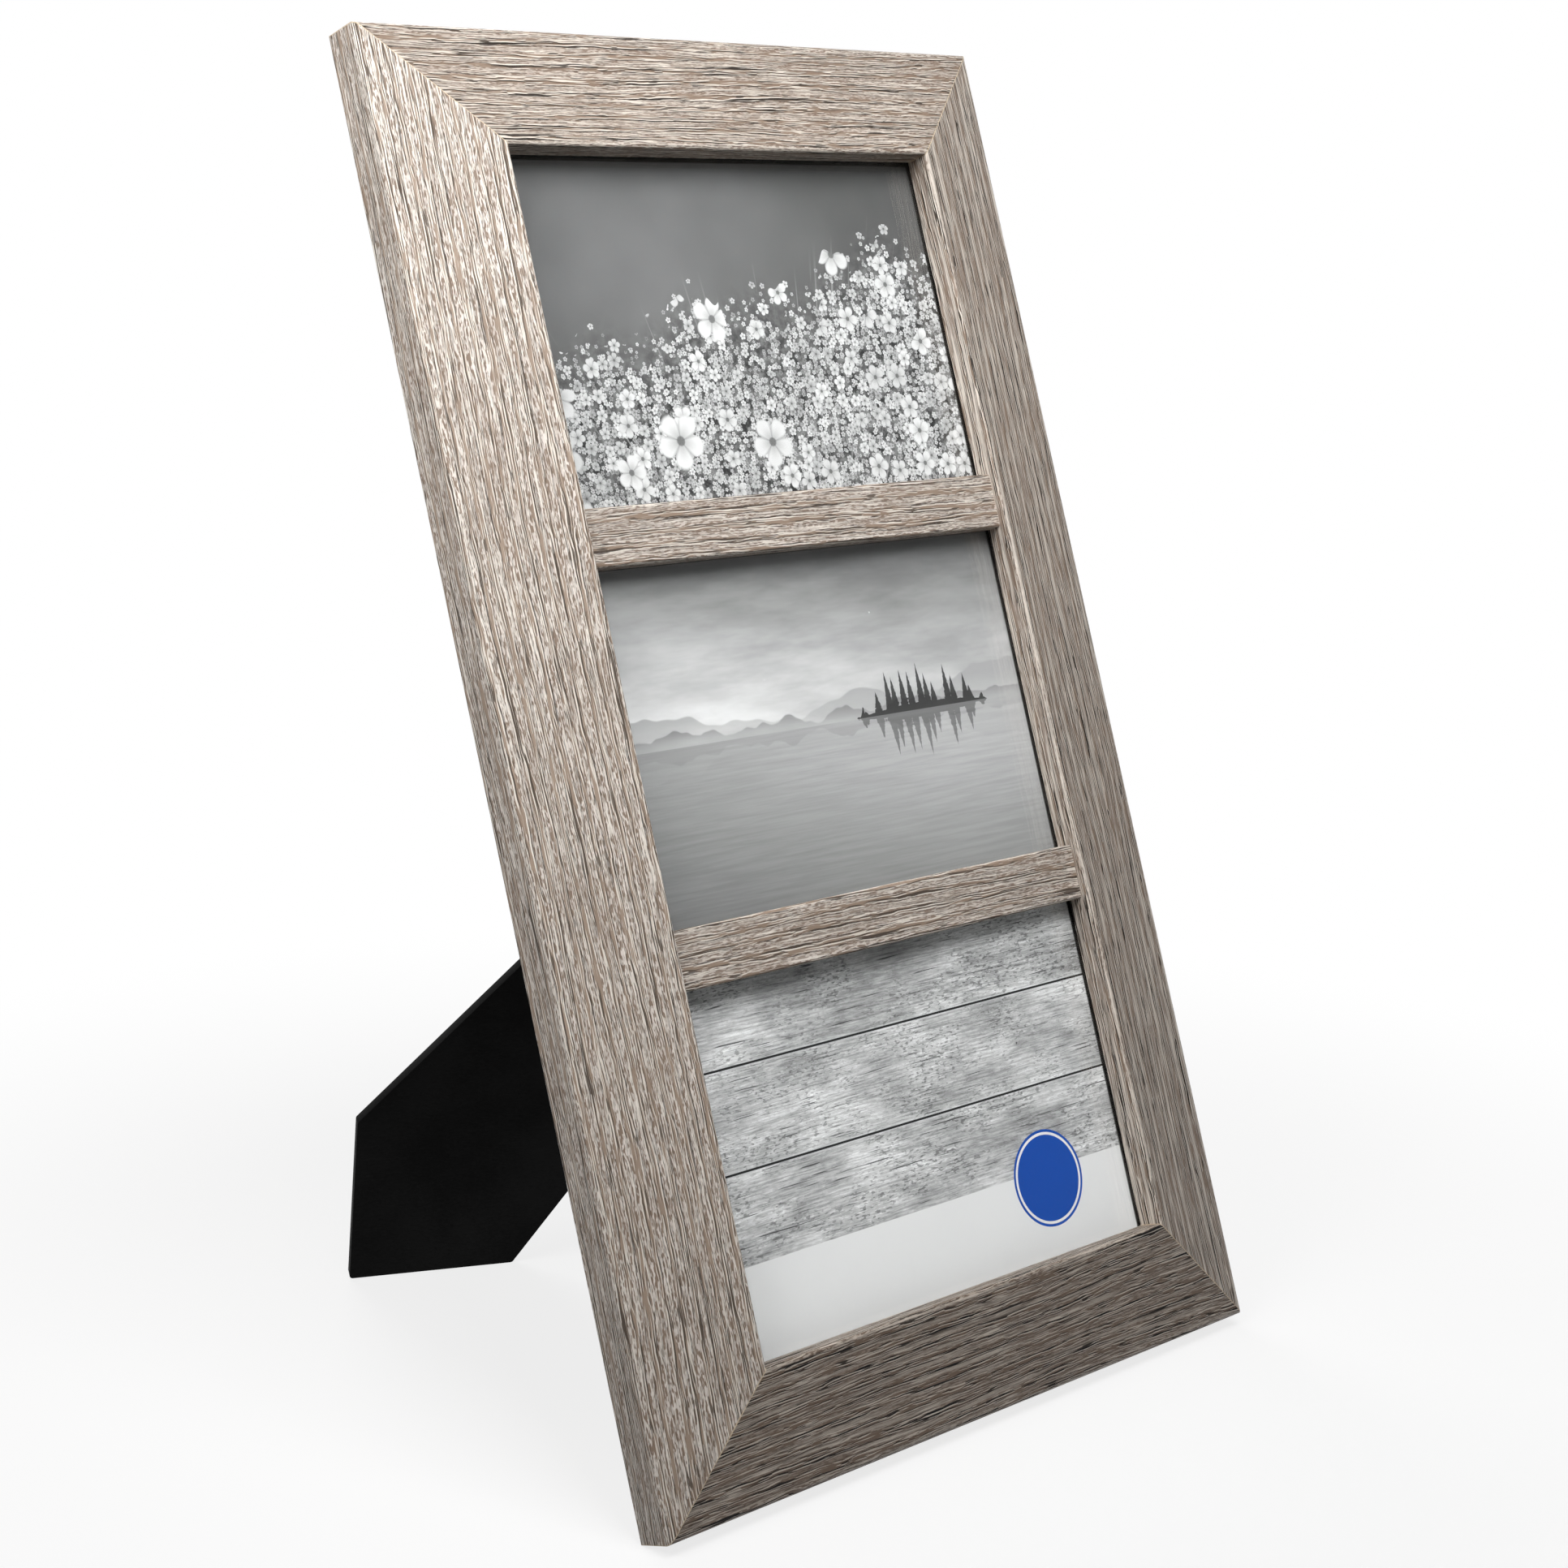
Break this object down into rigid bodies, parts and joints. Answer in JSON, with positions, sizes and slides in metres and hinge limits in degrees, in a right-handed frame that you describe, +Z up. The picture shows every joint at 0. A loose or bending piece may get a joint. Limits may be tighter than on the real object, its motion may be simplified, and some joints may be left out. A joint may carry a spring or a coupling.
{
  "type": "collage photo frame",
  "caption": "Tall collage picture frame with stacked landscape photo windows in grey-brown wood-look moulding, leaning back on a skewed fold-out easel leg.",
  "frame": {"origin": "on the floor, under the middle of the standing frame's bounding box", "axes": "+Z up as the frame stands open, pictures facing -Y and leaning back, +X to the right as seen from the front"},
  "size_m": [0.2032, 0.1872, 0.3387],
  "materials": {
    "foil_wood": "satin printed foil with a weathered grey-brown wood grain, over fibreboard moulding",
    "clear_glass": "clear float glass",
    "print_paper": "semi-gloss photographic print in greys",
    "filler_card": "plain corrugated filler card",
    "black_board": "fibreboard faced with matte black textured paper",
    "zinc_steel": "zinc-plated pressed steel"
  },
  "bodies": {
    "frame": {"left_stile": "foil_wood", "right_stile": "foil_wood", "top_rail": "foil_wood", "bottom_rail": "foil_wood", "upper_crossbar": "foil_wood", "lower_crossbar": "foil_wood", "glass_pane": "clear_glass", "upper_print": "print_paper", "middle_print": "print_paper", "lower_print": "print_paper", "filler_pad": "filler_card", "back_board": "black_board", "corner_v_nails": "zinc_steel", "hinge_board_leaf": "zinc_steel", "hinge_pin": "zinc_steel", "board_rivets": "zinc_steel", "button_screws": "zinc_steel", "portrait_hanger": "zinc_steel", "landscape_hanger": "zinc_steel", "hanger_nails": "zinc_steel"},
    "easel_leg": {"easel_leg": "black_board", "hinge_leg_leaf": "zinc_steel", "leg_rivets": "zinc_steel"},
    "left_lower_turn_button": {"left_lower_turn_button": "zinc_steel"},
    "left_upper_turn_button": {"left_upper_turn_button": "zinc_steel"},
    "right_lower_turn_button": {"right_lower_turn_button": "zinc_steel"},
    "right_upper_turn_button": {"right_upper_turn_button": "zinc_steel"},
    "top_turn_button": {"top_turn_button": "zinc_steel"},
    "bottom_turn_button": {"bottom_turn_button": "zinc_steel"}
  },
  "joints": [
    {"name": "leg_hinge", "type": "hinge", "parent": "frame", "child": "easel_leg", "pos_m": [0.0337, -0.01951, 0.17392], "axis": [0.829, -0.1856, -0.5275], "range_deg": [-46, 0]},
    {"name": "left_lower_button_turn", "type": "hinge", "parent": "frame", "child": "left_lower_turn_button", "pos_m": [-0.083, -0.0441, 0.11112], "axis": [0, 0.9433, -0.332], "continuous": true},
    {"name": "left_upper_button_turn", "type": "hinge", "parent": "frame", "child": "left_upper_turn_button", "pos_m": [-0.083, -0.00426, 0.22432], "axis": [0, 0.9433, -0.332], "continuous": true},
    {"name": "right_lower_button_turn", "type": "hinge", "parent": "frame", "child": "right_lower_turn_button", "pos_m": [0.083, -0.0441, 0.11112], "axis": [0, 0.9433, -0.332], "continuous": true},
    {"name": "right_upper_button_turn", "type": "hinge", "parent": "frame", "child": "right_upper_turn_button", "pos_m": [0.083, -0.00426, 0.22432], "axis": [0, 0.9433, -0.332], "continuous": true},
    {"name": "top_button_turn", "type": "hinge", "parent": "frame", "child": "top_turn_button", "pos_m": [0.045, 0.02867, 0.31789], "axis": [0, 0.9433, -0.332], "continuous": true},
    {"name": "bottom_button_turn", "type": "hinge", "parent": "frame", "child": "bottom_turn_button", "pos_m": [0.045, -0.07703, 0.01755], "axis": [0, 0.9433, -0.332], "continuous": true}
  ]
}
